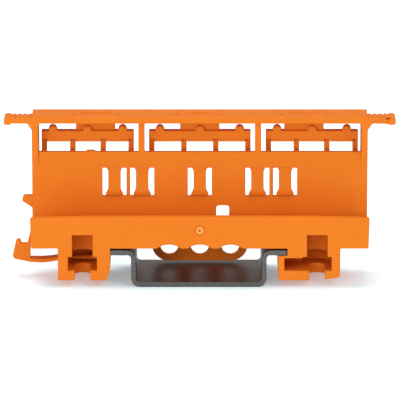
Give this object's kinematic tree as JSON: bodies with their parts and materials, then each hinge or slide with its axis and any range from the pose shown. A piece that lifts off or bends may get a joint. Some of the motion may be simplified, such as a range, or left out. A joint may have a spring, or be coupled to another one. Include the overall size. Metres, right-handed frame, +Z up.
{
  "type": "splicing connector carrier on DIN rail",
  "caption": "Moulded carrier that holds lever splicing connectors upright and snaps across a top-hat rail, with sprung fingers, cable-tie bars and a pry-open latch.",
  "frame": {"origin": "centre of the rail offcut's underside, which is the bottom centre of the whole object", "axes": "+X along the carrier to its right end seen from the front, +Y along the rail from the tray's front to the back, +Z up"},
  "size_m": [0.0784, 0.02, 0.0327],
  "materials": {
    "orange_plastic": "fine satin moulding, bright orange",
    "rail_steel": "dull zinc-plated, chromated strip steel"
  },
  "bodies": {
    "rail": {"din_rail": "rail_steel"},
    "carrier": {"front_lip": "orange_plastic", "base_plate": "orange_plastic", "back_wall": "orange_plastic", "left_end_wall": "orange_plastic", "right_end_wall": "orange_plastic", "window_post_left": "orange_plastic", "window_post_right": "orange_plastic", "top_plate": "orange_plastic", "left_grip_tab": "orange_plastic", "right_grip_tab": "orange_plastic", "tie_bar_left": "orange_plastic", "tie_bar_centre": "orange_plastic", "tie_bar_right": "orange_plastic", "tie_web_left": "orange_plastic", "tie_web_centre": "orange_plastic", "tie_web_right": "orange_plastic", "left_foot": "orange_plastic", "right_foot": "orange_plastic", "screw_tongue": "orange_plastic", "rear_skirt": "orange_plastic", "left_end_skirt": "orange_plastic", "right_end_skirt": "orange_plastic", "rail_seat_left": "orange_plastic", "rail_seat_right": "orange_plastic", "pry_fulcrum": "orange_plastic", "latch_spring_arm": "orange_plastic"},
    "latch": {"latch_pry_block": "orange_plastic", "latch_hook_strip": "orange_plastic"},
    "finger_1": {"spring_finger_1": "orange_plastic"},
    "finger_2": {"spring_finger_2": "orange_plastic"},
    "finger_3": {"spring_finger_3": "orange_plastic"},
    "finger_4": {"spring_finger_4": "orange_plastic"},
    "finger_5": {"spring_finger_5": "orange_plastic"}
  },
  "joints": [
    {"name": "carrier_slide", "type": "slide", "parent": "rail", "child": "carrier", "axis": [0, 1, 0], "range_m": [-0.006, 0.006]},
    {"name": "latch_release", "type": "slide", "parent": "carrier", "child": "latch", "axis": [1, 0, 0], "range_m": [-0.002, 0], "stiffness_N_per_m": 3000},
    {"name": "finger_1_flex", "type": "hinge", "parent": "carrier", "child": "finger_1", "pos_m": [-0.0171, 0.0008, 0.0221], "axis": [1, 0, 0], "range_deg": [0, 10], "stiffness_Nm_per_rad": 0.06},
    {"name": "finger_2_flex", "type": "hinge", "parent": "carrier", "child": "finger_2", "pos_m": [-0.01155, 0.0008, 0.0221], "axis": [1, 0, 0], "range_deg": [0, 10], "stiffness_Nm_per_rad": 0.06},
    {"name": "finger_3_flex", "type": "hinge", "parent": "carrier", "child": "finger_3", "pos_m": [0, 0.0008, 0.0221], "axis": [1, 0, 0], "range_deg": [0, 10], "stiffness_Nm_per_rad": 0.06},
    {"name": "finger_4_flex", "type": "hinge", "parent": "carrier", "child": "finger_4", "pos_m": [0.01155, 0.0008, 0.0221], "axis": [1, 0, 0], "range_deg": [0, 10], "stiffness_Nm_per_rad": 0.06},
    {"name": "finger_5_flex", "type": "hinge", "parent": "carrier", "child": "finger_5", "pos_m": [0.0171, 0.0008, 0.0221], "axis": [1, 0, 0], "range_deg": [0, 10], "stiffness_Nm_per_rad": 0.06}
  ]
}
